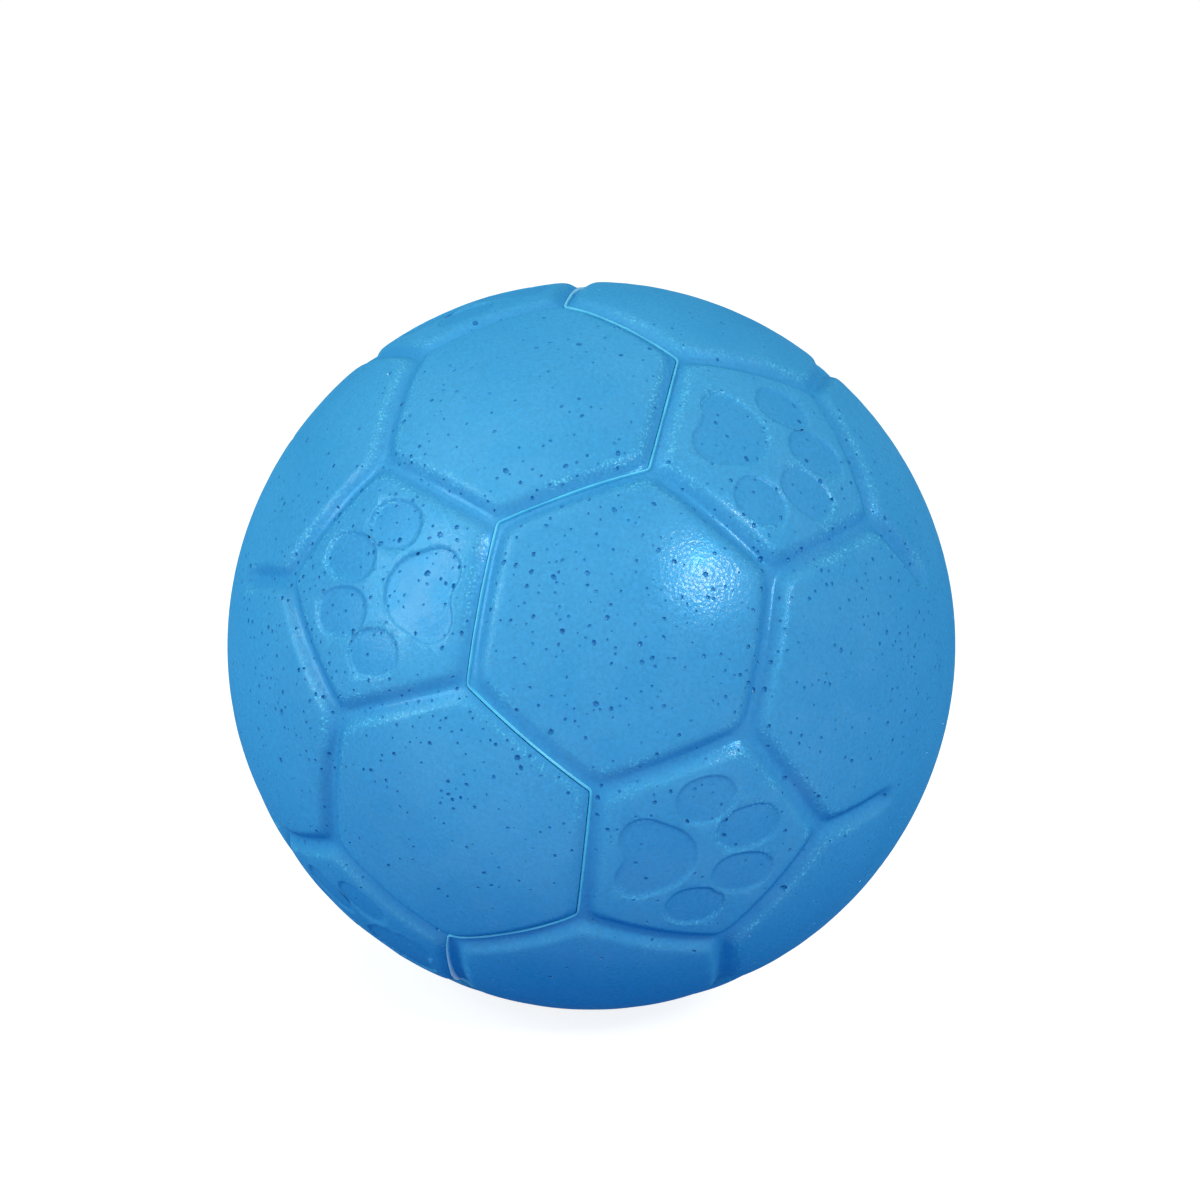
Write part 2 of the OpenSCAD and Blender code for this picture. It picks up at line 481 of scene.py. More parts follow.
    def sided(self, q: np.ndarray) -> tuple[np.ndarray, np.ndarray]:
        """How far directions lie from the seam, and on which side of it.

        Args:
            q: Directions, n by 3.

        Returns:
            Their distances in millimetres, and their halves, as -1 or 1.
        """
        nearest = np.argmax(q @ self.line.T, axis=1)
        apart = q - self.line[nearest]
        side = np.sign((apart * self.across[nearest]).sum(1))
        return np.linalg.norm(apart, axis=1) * self.ball_r, side


@dataclass
class PawPrint:
    """Generic paw print pressed into a ring pentagon: a heart-shaped pad and four oval toes."""

    ball_r: float = BALL_R
    depth: float = 0.18
    pad_w: float = 9.1
    pad_middle: float = -4.6
    pad_heel: float = 8.3
    pad_tip: float = 0.8
    pad_lobe_r: float = 2.3
    pad_tip_r: float = 3.8
    heel_notch: float = 0.5
    heel_notch_r: float = 3.0
    toe_w: float = 4.7
    inner_toe: Triple = (4.15, 2.6, 6.3)
    outer_toe: Triple = (-0.25, 6.1, 5.8)
    toe_splay: float = 7.0
    toe_power: float = 2.3
    moved: tuple[tuple[int, float, float], ...] = ((3, 0.6, -0.5), (5, 0.1, 0.3))
    points: int = 64

    def middles(self, pattern: PanelPattern) -> np.ndarray:
        """Directions of the ten prints' middles.

        Most lie on their panel's own middle. Those in moved, by the number of their ring pentagon, were
        pressed a little off it, towards the toes and to the side.

        Args:
            pattern: The ball's panels.

        Returns:
            The directions, ten by 3.
        """
        found = pattern.pents[2:].copy()
        for k, ahead, beside in self.moved:
            toes, side = self.axes(found[k])
            found[k] = unit(found[k] + (ahead * toes + beside * side) / self.ball_r)
        return found

    def _angles(self) -> np.ndarray:
        """Angles of an outline's points round its middle."""
        return np.linspace(0, 2 * math.pi, self.points, endpoint=False)

    def _pad(self) -> tuple[np.ndarray, np.ndarray]:
        """Middle of the pad and its outline's distance from it.

        The outline is the tight wrap round two lobes and a tip: in direction t its distance is the
        least of h(f) / cos(t - f), where h(f) = max(c . f + r) over the three circles. A circle at
        the heel takes the notch out of it.

        Returns:
            The middle on the panel's plane, and the distances at the outline's angles.
        """
        directions = 720
        least_turn = 0.05
        middle = np.array([self.pad_middle, 0.0])
        t = self._angles()
        f = np.linspace(0, 2 * math.pi, directions, endpoint=False)
        lobe_y = self.pad_w / 2 - self.pad_lobe_r
        lobe_x = self.pad_lobe_r - self.pad_heel
        circles = [
            (lobe_x, lobe_y, self.pad_lobe_r),
            (lobe_x, -lobe_y, self.pad_lobe_r),
            (-self.pad_tip - self.pad_tip_r, 0.0, self.pad_tip_r),
        ]
        reaches = [(x - middle[0]) * np.cos(f) + (y - middle[1]) * np.sin(f) + r for x, y, r in circles]
        reach = np.max(reaches, axis=0)
        turn = np.cos(t[:, None] - f[None, :])
        wrap = np.where(turn > least_turn, reach / np.maximum(turn, least_turn), np.inf).min(1)
        away = self.heel_notch - self.pad_heel - self.heel_notch_r - middle[0]
        beside = away * np.cos(t)
        inside = beside**2 - away**2 + self.heel_notch_r**2
        notch = np.where((inside > 0) & (beside > 0), beside - np.sqrt(np.maximum(inside, 0)), np.inf)
        edge = np.minimum(wrap, notch)
        edge = (np.roll(edge, 1) + 2 * edge + np.roll(edge, -1)) / 4
        return middle, edge

    def _toe(self, length: float, side: int) -> np.ndarray:
        """Distance of a toe's outline from its middle: an oval, 1 / ((|cos|/a)^p + (|sin|/b)^p)^(1/p).

        Args:
            length: The toe's length.
            side: The side of the print that it splays to, -1 or 1.

        Returns:
            The distances at the outline's angles.
        """
        t = self._angles() - side * math.radians(self.toe_splay)
        a, b, p = length / 2, self.toe_w / 2, self.toe_power
        return ((np.abs(np.cos(t)) / a) ** p + (np.abs(np.sin(t)) / b) ** p) ** (-1 / p)

    def outlines(self) -> list[tuple[np.ndarray, np.ndarray]]:
        """Shapes of the pad and of the four toes, on the panel's plane.

        Returns:
            The middle of each, and its outline's distances from that.
        """
        found = [self._pad()]
        for x, y, length in (self.inner_toe, self.outer_toe):
            for side in (-1, 1):
                found.append((np.array([x, side * y]), self._toe(length, side)))
        return found

    def axes(self, middle: np.ndarray) -> tuple[np.ndarray, np.ndarray]:
        """The two axes of a print.

        Args:
            middle: Direction of the print's middle.

        Returns:
            The direction of its toes, towards its own pole, and of its side.
        """
        pole = np.array([np.sign(middle[0]), 0, 0])
        toes = unit(pole - (pole @ middle) * middle)
        return toes, np.cross(middle, toes)

    def margin(self, q: np.ndarray, middle: np.ndarray) -> np.ndarray:
        """Distance of directions outside a print.

        Args:
            q: Directions, n by 3.
            middle: Direction of the print's middle.

        Returns:
            The distances in millimetres, below zero inside the print, and endless far away from it.
        """
        near_cosine = 0.8
        toes, side = self.axes(middle)
        flat = np.stack([q @ toes, q @ side], -1) * self.ball_r
        nearest = np.full(len(q), np.inf)
        t = np.append(self._angles(), 2 * math.pi)
        for place, edge in self.outlines():
            apart = flat - place
            angle = np.arctan2(apart[:, 1], apart[:, 0]) % (2 * math.pi)
            outside = np.linalg.norm(apart, axis=1) - np.interp(angle, t, np.append(edge, edge[0]))
            nearest = np.minimum(nearest, outside)
        return np.where(q @ middle > near_cosine, nearest, np.inf)

    def cutters(self, middle: np.ndarray) -> tuple[np.ndarray, np.ndarray]:
        """Closed shapes that press one print into the ball.

        Each is a grid of rings round its outline: rings that shrink to the middle on the floor, which
        is round the ball's centre, a wall with a slight draft and a flared rim, and rings that close
        the top, clear of the ball. A point (x, y) on the panel's plane lies in direction
        (x, y, sqrt(r^2 - x^2 - y^2)) of the panel's own axes.

        Args:
            middle: Direction of the print's middle.

        Returns:
            Points in millimetres and quads, with the rings' middles still repeated.
        """
        ball_r, d = self.ball_r, self.depth
        share = np.array([0, 0.3, 0.6, 0.85, 1, 1, 1, 1, 1, 1, 1, 0.6, 0.3, 0])
        grow = np.array([0, 0, 0, 0, -0.2, -0.13, 0, 0.13, 0.21, 0.32, 0.6, 0.3, 0.1, 0])
        climb = np.array([0, 0, 0, 0, 0, 0.12 * d, 0.5 * d, 0.9 * d, d + 0.02, d + 0.1])
        radius = np.append(ball_r - d + climb, [ball_r + 0.8] * 4)
        toes, side = self.axes(middle)
        t = self._angles()
        points, quads = [], []
        for place, edge in self.outlines():
            ring = share[:, None] * edge[None, :] + grow[:, None]
            x = place[0] + ring * np.cos(t)
            y = place[1] + ring * np.sin(t)
            up = np.sqrt(ball_r**2 - x * x - y * y)
            q = (x[..., None] * toes + y[..., None] * side + up[..., None] * middle) / ball_r
            faces = grid_quads(len(share), self.points, closed=True)
            quads.append(faces + sum(len(p) for p in points))
            points.append((q * radius[:, None, None]).reshape(-1, 3))
        return np.vstack(points), np.vstack(quads)


@dataclass
class Pinholes:
    """Burst bubbles in the moulded skin: small pits scattered over the ball."""

    count: int = 3700
    seed: int = 7
    spacing: float = 0.55
    segments: int = 6
    belt_axis: Triple = (-0.16, 0.23, 0.96)
    belt_at: float = 0.11
    belt_w: float = 0.33
    elsewhere: float = 0.1
    clouding: float = 0.3
    usual_w: float = 0.29
    w_spread: float = 0.31
    w_limits: tuple[float, float] = (0.18, 0.65)
    stretch: tuple[float, float] = (1.0, 1.35)
    deepness: tuple[float, float] = (0.75, 1.15)
    wobble: float = 0.12
    seam_room: float = 0.7
    tries: int = 5

    def scatter(self, shape: BallShape, seam: SeamLine, prints: PawPrint) -> dict[str, np.ndarray]:
        """Chooses the pits' places and sizes.

        Seeded random directions, thinned so that they gather in a belt a little above the ball's
        middle, exp(-((q . axis - belt_at) / belt_w)^2 / 2), and in clouds along it, and kept apart
        from each other and from the seam.

        Args:
            shape: The ball's surface.
            seam: The seam that the pits keep clear of.
            prints: The paw print, whose floors lie lower.

        Returns:
            Directions q, radii r of the surface there, sizes w, and half, -1 or 1.
        """
        rng = np.random.default_rng(self.seed)
        q = unit(rng.normal(size=(self.count * self.tries, 3)))
        belt = np.exp(-(((q @ self.belt_axis - self.belt_at) / self.belt_w) ** 2) / 2)
        clouds = 1 - self.clouding + self.clouding * ripple(q, seed=23, waves=5.0)
        wanted = (self.elsewhere + (1 - self.elsewhere) * belt) * clouds
        q = q[rng.uniform(size=len(q)) < wanted]
        width = np.clip(self.usual_w * np.exp(self.w_spread * rng.normal(size=len(q))), *self.w_limits)
        apart = np.sqrt(np.maximum(2 - 2 * q @ q.T, 0)) * shape.ball_r
        crowded = np.tril(apart < self.spacing, -1).any(1)
        away, half = seam.sided(q)
        keep = ~crowded & (away > self.seam_room)
        q, width, half = q[keep][: self.count], width[keep][: self.count], half[keep][: self.count]
        r = shape.radius(q)
        for middle in prints.middles(shape.pattern):
            r[prints.margin(q, middle) < 0] = shape.ball_r - prints.depth
        return {"q": q, "r": r, "w": width, "half": half}

    def cutters(self, pits: dict[str, np.ndarray]) -> tuple[np.ndarray, np.ndarray]:
        """Small closed drops that cut the pits.

        Each drop is a few rings of points, with radius and height (0, -1), (0.7, -0.68), (1, 0),
        (1.15, 0.6) and (0, 0.6) times its half width, stretched a little along the ball.

        Args:
            pits: What scatter() chose.

        Returns:
            Points in millimetres and quads, with the ends' points still repeated.
        """
        rng = np.random.default_rng(self.seed + 1)
        n = len(pits["q"])
        q = pits["q"]
        profile = np.array([(0, -1), (0.7, -0.68), (1, 0), (1.15, 0.6), (0, 0.6)])
        t = np.linspace(0, 2 * math.pi, self.segments, endpoint=False)
        turn = unit(np.cross(q, unit(rng.normal(size=(n, 3)))))
        side = np.cross(q, turn)
        long = rng.uniform(*self.stretch, n)
        half_w = pits["w"] / 2
        deep = half_w * rng.uniform(*self.deepness, n)
        wobble = 1 + rng.uniform(-self.wobble, self.wobble, (n, 1, self.segments))
        ring = profile[None, :, :1] * half_w[:, None, None] * wobble
        x = ring * np.cos(t) * long[:, None, None]
        y = ring * np.sin(t)
        z = profile[None, :, 1:] * deep[:, None, None] + 0 * x
        points = (
            (pits["r"][:, None] * q)[:, None, None, :]
            + x[..., None] * turn[:, None, None, :]
            + y[..., None] * side[:, None, None, :]
            + z[..., None] * q[:, None, None, :]
        )
        rows = len(profile)
        faces = grid_quads(rows, self.segments, closed=True)
        offsets = np.arange(n)[:, None, None] * rows * self.segments
        return points.reshape(-1, 3), (faces[None] + offsets).reshape(-1, 4)


def cut_away(piece: bpy.types.Object, points: np.ndarray, quads: np.ndarray) -> None:
    """Takes closed cutting shapes out of a piece, and applies the result.

    Args:
        piece: The piece to cut.
        points: The shapes' points in millimetres.
        quads: Their faces.
    """
    cutter = new_mesh(piece.name + "_cutter", *weld(points, quads))
    cut = piece.modifiers.new("cut", "BOOLEAN")
    cut.operation = "DIFFERENCE"
    cut.solver = "MANIFOLD"
    cut.object = cutter
    graph = bpy.context.evaluated_depsgraph_get()
    made = bpy.data.meshes.new_from_object(piece.evaluated_get(graph))
    piece.modifiers.clear()
    old = piece.data
    piece.data = made
    made.name = piece.name
    bpy.data.meshes.remove(old)
    used = cutter.data
    bpy.data.objects.remove(cutter)
    bpy.data.meshes.remove(used)


def set_attribute(piece: bpy.types.Object, name: str, values: np.ndarray) -> None:
    """Stores one number for each point of a piece, for its material."""
    layer = piece.data.attributes.new(name, "FLOAT", "POINT")
    layer.data.foreach_set("value", values.astype(np.float32))


def points_of(piece: bpy.types.Object) -> np.ndarray:
    """Reads the points of a piece.

    Args:
        piece: The piece.

    Returns:
        Its points in millimetres, n by 3.
    """
    flat = np.zeros(len(piece.data.vertices) * 3, np.float32)
    piece.data.vertices.foreach_get("co", flat)
    return flat.reshape(-1, 3).astype(float) / MM


class Graph:
    """Short ways to add and join the nodes of one material or world."""

    def __init__(self, owner: bpy.types.Material | bpy.types.World) -> None:
        """Clears the owner's nodes, and leaves only its output.

        Args:
            owner: The new material or world.
        """
        self.owner = owner
        self.owner.use_nodes = True
        self.tree = owner.node_tree
        self.tree.nodes.clear()
        kind = "World" if isinstance(owner, bpy.types.World) else "Material"
        self.output = self.tree.nodes.new("ShaderNodeOutput" + kind)

    def add(self, kind: str, inputs: dict | None = None, **settings: object) -> bpy.types.Node:
        """Adds a node.

        Args:
            kind: The node's type.
            inputs: Its inputs by name or number, each a plain value or a socket to join.
            **settings: The node's own settings.

        Returns:
            The node.
        """
        made = self.tree.nodes.new(kind)
        for name, value in settings.items():
            setattr(made, name, value)
        for name, value in (inputs or {}).items():
            if isinstance(value, Socket):
                self.tree.links.new(value, made.inputs[name])
            else:
                made.inputs[name].default_value = value
        return made

    def math(self, operation: str, a: object, b: object) -> Socket:
        """Result of a Math node."""
        return self.add("ShaderNodeMath", {0: a, 1: b}, operation=operation).outputs[0]

    def mix(self, share: object, a: object, b: object, blend: str = "MIX") -> Socket:
        """Colour between a and b."""
        made = self.add("ShaderNodeMix", {0: share, 6: a, 7: b}, data_type="RGBA", blend_type=blend)
        return made.outputs[2]

    def span(self, value: object, low: float, high: float, to_low: float, to_high: float) -> Socket:
        """A value moved from one range to another, and held inside it."""
        inputs = {"Value": value, "From Min": low, "From Max": high, "To Min": to_low, "To Max": to_high}
        return self.add("ShaderNodeMapRange", inputs).outputs[0]

    def noise(self, place: object, scale: float, detail: float = 2.0, rough: float = 0.5) -> Socket:
        """Height of a noise texture at a place."""
        inputs = {"Vector": place, "Scale": scale, "Detail": detail, "Roughness": rough}
        return self.add("ShaderNodeTexNoise", inputs).outputs[0]

    def cells(self, place: object, scale: float) -> bpy.types.NodeOutputs:
        """Outputs of a Voronoi texture at a place."""
        return self.add("ShaderNodeTexVoronoi", {"Vector": place, "Scale": scale}).outputs

    def bump(self, strength: float, distance: float, height: object) -> Socket:
        """Normal of a Bump node, its distance in metres."""
        inputs = {"Strength": strength, "Distance": distance, "Height": height}
        return self.add("ShaderNodeBump", inputs).outputs[0]

    def seen(self) -> Socket:
        """Tells which rays show the background.

        Returns:
            One for rays from the camera, off gloss and through glass, and zero for the rest.
        """
        path = self.add("ShaderNodeLightPath").outputs
        plain = self.math("MAXIMUM", path["Is Camera Ray"], path["Is Glossy Ray"])
        return self.math("MAXIMUM", plain, path["Is Transmission Ray"])

    def finish(self, shader: Socket) -> bpy.types.Material | bpy.types.World:
        """Joins the shader to the output, and gives back the owner."""
        self.tree.links.new(shader, self.output.inputs["Surface"])
        return self.owner


def rgba(r: float, g: float, b: float) -> Rgba:
    """Turns a colour in display values from 0 to 255 into the linear colour that a socket takes.

    Args:
        r: Red.
        g: Green.
        b: Blue.

    Returns:
        The linear colour, with full cover.
    """
    s = np.array([r, g, b]) / 255
    line = np.where(s <= 0.04045, s / 12.92, ((s + 0.055) / 1.055) ** 2.4)
    return (*line.tolist(), 1.0)


@dataclass(frozen=True)
class FoamRubber:
    """Blue blown rubber: a smooth moulded skin with fine grain and faint clouds, pale specks mostly on
    the lips that are partly rubbed wear and partly painted glints, painted shade in the grooves and pits,
    and darker print floors.
    """

    name: str = "blue_foam_rubber"
    skin: Triple = (68, 149, 206)
    cloud: Triple = (61, 143, 202)
    # Painted shade on the groove floors, and the darker colour of the print floors.
    low: Triple = (53, 136, 199)
    # Painted shade inside the pits.
    pit_shade: Triple = (48, 130, 194)
    # Pale specks, partly rubbed wear and partly painted glints.
    rub_and_glint: Triple = (108, 204, 238)
    fleck: Triple = (190, 230, 245)
    gloss: Rgba = (0.06, 0.6, 0.9, 1.0)
    metallic: float = 0.09
    roughness: float = 0.28
    grain_depth: float = 0.0001
    grain_strength: float = 0.28
    glint_strength: float = 0.27
    coat_weight: float = 0.074
    coat_limb: float = 0.006
    coat_ior: float = 2.0
    coat_roughness: float = 0.17
    grain_scale: float = 2600.0
    fine_scale: float = 6500.0
    bead_scale: float = 2800.0
    wear_scale: float = 210.0
    patch_scale: float = 230.0
    cloud_scale: float = 60.0
    rub_and_glint_patch_scale: float = 130.0
    rub_and_glint_scale: float = 4200.0
    fleck_scale: float = 150.0
    fleck_chance: float = 0.28

    def make(self) -> bpy.types.Material:
        """Makes the material, from Object coordinates and the cover's lip, low and pit_shade attributes;
        low carries painted shade in grooves and darker print floors, pit_shade painted shade in pits.

        Returns:
            The material.
        """
        g = Graph(bpy.data.materials.new(self.name))
        place = g.add("ShaderNodeTexCoord").outputs["Object"]
        lip, low, pit_shade = (
            g.add("ShaderNodeAttribute", attribute_name=name).outputs["Fac"]
            for name in ("lip", "low", "pit_shade")
        )
        grain = g.noise(place, self.grain_scale, 3.0, 0.6)
        fine = g.noise(place, self.fine_scale, 2.0, 0.6)
        coarse = g.math("ADD", g.math("MULTIPLY", lip, 2.6), 0.4)
        height = g.math("ADD", grain, g.math("MULTIPLY", fine, coarse))
        beads = g.cells(place, self.bead_scale)["Distance"]
        sparkle = g.math("ADD", beads, g.math("MULTIPLY", height, 0.3))
        facing = g.add("ShaderNodeLayerWeight", {"Blend": 0.5}).outputs["Facing"]
        worn = g.span(g.noise(place, self.wear_scale, 3.0, 0.6), 0.42, 0.58, 0.5, 1.3)
        coat = g.span(facing, 0.25, 0.6, self.coat_weight, self.coat_limb)
        rough = g.span(grain, 0.3, 0.7, self.roughness - 0.08, self.roughness + 0.1)
        patch = g.span(g.noise(place, self.patch_scale, 3.0), 0.35, 0.65, -0.06, 0.1)
        inputs = {
            "Base Color": self._colour(g, place, grain, lip, low, pit_shade),
            "Roughness": g.math("ADD", rough, patch),
            "Normal": g.bump(self.grain_strength, self.grain_depth, height),
            "Metallic": self.metallic,
            "Specular IOR Level": 0.0,
            "Specular Tint": self.gloss,
            "Coat Weight": g.math("MULTIPLY", worn, coat),
            "Coat Normal": g.bump(self.glint_strength, self.grain_depth, sparkle),
            "Coat IOR": self.coat_ior,
            "Coat Roughness": self.coat_roughness,
        }
        return g.finish(g.add("ShaderNodeBsdfPrincipled", inputs).outputs[0])

    def _colour(
        self, g: Graph, place: Socket, grain: Socket, lip: Socket, low: Socket, pit_shade: Socket
    ) -> Socket:
        """Mixes the rubber's colour: clouds, painted shade in the grooves with darker print floors,
        grain, pale specks of rubbed wear and painted glints, painted shade in the pits, and flecks.

        Args:
            g: The material's nodes.
            place: Object coordinates.
            grain: Height of the grain.
            lip: How far a point is on a lip.
            low: How far it is in a groove or a print, for the painted shade of the grooves and the darker
                print floors.
            pit_shade: How far it is in a pit, for the painted shade there.

        Returns:
            The colour.
        """
        clouds = g.span(g.noise(place, self.cloud_scale, 3.0), 0.35, 0.65, 0.0, 1.0)
        colour = g.mix(clouds, rgba(*self.skin), rgba(*self.cloud))
        # Painted shade on the groove floors, and the darker print floors.
        colour = g.mix(g.math("MULTIPLY", low, 0.6), colour, rgba(*self.low))
        speckle = g.span(grain, 0.3, 0.7, 0.92, 1.07)
        shade = g.add("ShaderNodeCombineColor", {0: speckle, 1: speckle, 2: speckle}).outputs[0]
        colour = g.mix(1.0, colour, shade, "MULTIPLY")
        # Pale specks in patches, most on the lips: partly rubbed wear, partly painted glints.
        rub_and_glint_patches = g.span(g.noise(place, self.rub_and_glint_patch_scale, 2.0), 0.45, 0.58, 0.1, 1.0)
        rub_and_glint = g.span(g.noise(place, self.rub_and_glint_scale, 1.0), 0.55, 0.68, 0.0, 1.0)
        rub_and_glint_lips = g.math("ADD", g.math("MULTIPLY", lip, 0.6), 0.08)
        rub_and_glint = g.math("MULTIPLY", g.math("MULTIPLY", rub_and_glint, rub_and_glint_patches), rub_and_glint_lips)
        colour = g.mix(rub_and_glint, colour, rgba(*self.rub_and_glint))
        # Painted shade inside the pits.
        colour = g.mix(pit_shade, colour, rgba(*self.pit_shade))
        cells = g.cells(place, self.fleck_scale)
        chosen = g.math("GREATER_THAN", cells["Color"], 1 - self.fleck_chance)
        dot = g.math("MULTIPLY", chosen, g.span(cells["Distance"], 0.014, 0.02, 1.0, 0.0))
        return g.mix(dot, colour, rgba(*self.fleck))


@dataclass(frozen=True)
class SeamRubber:
    """Thin moulded rim, a paler and clearer blue than the covers."""

    name: str = "pale_blue_rim"
    colour: Triple = (80, 188, 232)
    shade: Triple = (62, 168, 218)
    roughness: float = 0.42
    streak_scale: float = 420.0
    grain_scale: float = 3000.0
    grain_depth: float = 0.0001
    grain_strength: float = 0.2

    def make(self) -> bpy.types.Material:
        """Makes the material, with a slight unevenness along the rim.

        Returns:
            The material.
        """
        g = Graph(bpy.data.materials.new(self.name))
        place = g.add("ShaderNodeTexCoord").outputs["Object"]
        streak = g.span(g.noise(place, self.streak_scale, 3.0), 0.35, 0.65, 0.0, 1.0)
        colour = g.mix(streak, rgba(*self.colour), rgba(*self.shade))
        bump = g.bump(self.grain_strength, self.grain_depth, g.noise(place, self.grain_scale))
        inputs = {"Base Color": colour, "Normal": bump, "Roughness": self.roughness}
        return g.finish(g.add("ShaderNodeBsdfPrincipled", inputs).outputs[0])


@dataclass(frozen=True)
class CoreFoam:
    """Pale open foam of the filling."""

    name: str = "pale_core_foam"
    colour: Triple = (214, 220, 224)
    pore: Triple = (150, 162, 172)
    roughness: float = 0.85
    pore_scale: float = 900.0
    pore_depth: float = 0.0004
    pore_strength: float = 0.5

    def make(self) -> bpy.types.Material:
        """Makes the material: a light foam with darker pores from a cell texture.

        Returns:
            The material.
        """
        g = Graph(bpy.data.materials.new(self.name))
        place = g.add("ShaderNodeTexCoord").outputs["Object"]
        cells = g.cells(place, self.pore_scale)["Distance"]
        colour = g.mix(g.span(cells, 0.1, 0.45, 1.0, 0.0), rgba(*self.colour), rgba(*self.pore))
        bump = g.bump(self.pore_strength, self.pore_depth, cells)
        inputs = {"Base Color": colour, "Normal": bump, "Roughness": self.roughness}
        return g.finish(g.add("ShaderNodeBsdfPrincipled", inputs).outputs[0])


@dataclass
class CoverHalf:
    """One moulded cover half: panels, grooves, paw prints and pits outside, the core's hollow inside.

    The steps are the first rows' distances from a panel's side. The sizes from lip_at on say which points
    count as on a lip, and where the painted shade of groove floors and pits and the darker print floors
    go.
    """

    half: Half
    shape: BallShape
    seam: SeamLine
    prints: PawPrint
    pinholes: Pinholes
    steps: tuple[float, ...] = (
        0, 0.14, 0.29, 0.44, 0.59, 0.74, 0.89, 1.04, 1.19, 1.34, 1.5, 1.68, 1.9, 2.2, 2.6,
    )
    middle_rows: int = 6
    inner_shares: tuple[float, ...] = (0, 0.35, 0.7, 1)
    wall_shares: tuple[float, ...] = (0, 0.02, 0.1, 0.4, 1)
    lip_at: float = 1.35
    lip_w: float = 0.45
    lip_sink: float = 0.1
    print_edge_w: float = 0.3
    print_low: float = 0.8
    # Where the painted shade of the groove floors starts, and over what run it comes in.
    groove_shade_from: float = 1.3
    groove_shade_run: float = 0.8
    # Depths below the surface over which the painted shade of the pits comes in.
    pit_shade_from: float = 0.03
    pit_shade_run: float = 0.12
    skin_t: float = 4.0
    crease: float = 38.0

    @property
    def node(self) -> str:
        """Name of the node that this piece stands for."""
        return "right_cover" if self.half is Half.RIGHT else "left_cover"

    def _sectors(self, panel: Panel) -> tuple[np.ndarray, np.ndarray]:
        """Frame of a panel on this half's mesh.

        Args:
            panel: The panel.

        Returns:
            The panel's middle, and the points along each of its sides.
        """
        seam = self.seam
        s = seam.spread()[:, None]
        sides = []
        for a, b in zip(panel.corners, panel.corners[1:] + panel.corners[:1]):
            side = seam.side(self.half, a, b)
            if side is None:
                first, last = sorted((a, b))
                p, q = seam.apex(self.half, first), seam.apex(self.half, last)
                side = unit((1 - s) * p + s * q)
                side = side if first == a else side[::-1]
            sides.append(side)
        middle = unit(sum(self.shape.pattern.crossing(c) for c in panel.corners))
        return middle, np.array(sides)

    def build(self, pits: dict[str, np.ndarray]) -> bpy.types.Object:
        """Makes the closed half.

        Each panel is cut into a sector for each side. A sector's grid runs from the side (t = 0) to the
        panel's middle (t = 1), in direction (1 - t) side + t middle, with its rows close together over
        the groove. The same sides carry a coarser grid on the hollow and, along the seam, a wall.

        Args:
            pits: The pinholes of the whole ball.

        Returns:
            The cover half.
        """
        shape = self.shape
        points: list[np.ndarray] = []
        quads: list[np.ndarray] = []

        def put(grid: np.ndarray, outwards: bool) -> None:
            """Adds a grid of points, with its faces turned outwards or inwards.

            Args:
                grid: The points, rows by columns by 3.
                outwards: Whether the faces look along rows times columns, or the other way.
            """
            rows, columns = grid.shape[:2]
            faces = grid_quads(rows, columns)
            faces = faces if outwards else faces[:, ::-1]
            quads.append(faces + sum(len(p) for p in points))
            points.append(grid.reshape(-1, 3))

        for panel in shape.pattern.panels:
            if panel.half is not self.half:
                continue
            middle, sides = self._sectors(panel)
            apothem = shape.ball_r * np.linalg.norm(sides[0][len(sides[0]) // 2] - middle)
            near = np.array(self.steps) / apothem
            t = np.append(near, np.linspace(near[-1], 1, self.middle_rows + 1)[1:])
            for side, a, b in zip(sides, panel.corners, panel.corners[1:] + panel.corners[:1]):
                q = unit((1 - t)[:, None, None] * side + t[:, None, None] * middle)
                flat = q.reshape(-1, 3)
                r = shape.radius(flat).reshape(q.shape[:2])
                put(q * r[..., None], True)
                u = np.array(self.inner_shares)
                inner = unit((1 - u)[:, None, None] * side + u[:, None, None] * middle)
                put(inner * shape.hollow_r, False)
                if self.seam.side(self.half, a, b) is not None:
                    w = np.array(self.wall_shares)[:, None]
                    deep = r[0] + (shape.hollow_r - r[0]) * w
                    put(q[0] * deep[..., None], False)
        piece = new_mesh(self.node, *weld(np.vstack(points), np.vstack(quads)))
        self._press(piece, pits)
        self._mark(piece)
        return piece

    def _press(self, piece: bpy.types.Object, pits: dict[str, np.ndarray]) -> None:
        """Cuts the paw prints and then the pits out of the half.

        Args:
            piece: The closed half.
            pits: The pinholes of the whole ball.
        """
        for middle in self.prints.middles(self.shape.pattern):
            if np.sign(middle[0]) == self.half.value:
                cut_away(piece, *self.prints.cutters(middle))
        here = pits["half"] == self.half.value
        cut_away(piece, *self.pinholes.cutters({name: values[here] for name, values in pits.items()}))

    def _mark(self, piece: bpy.types.Object) -> None:
        """Marks the points on lips, the painted shade in grooves and pits and the darker print floors for
        the finish, and smooths the faces.

        Args:
            piece: The half with its prints and pits.
        """
        points = points_of(piece)
        r = np.linalg.norm(points, axis=1)
        q = points / r[:, None]
        away = self.shape.groove_distance(q)
        below = self.shape.radius(q) - r
        middles = self.prints.middles(self.shape.pattern)
        margin = np.min([self.prints.margin(q, middle) for middle in middles], axis=0)
        pressed = (margin < 0).astype(float)
        below -= np.minimum(pressed * self.prints.depth, np.maximum(below, 0))
        outside = self.shape.cap_distance(q) > 0
        lip = np.exp(-(((away - self.lip_at) / self.lip_w) ** 2)) * (below < self.lip_sink) * outside
        # Painted shade on the groove floors; with the pressed print floors it makes the low attribute.
        groove = np.clip((self.groove_shade_from - away) / self.groove_shade_run, 0, 1) * outside
        skin = r > self.shape.ball_r - self.skin_t
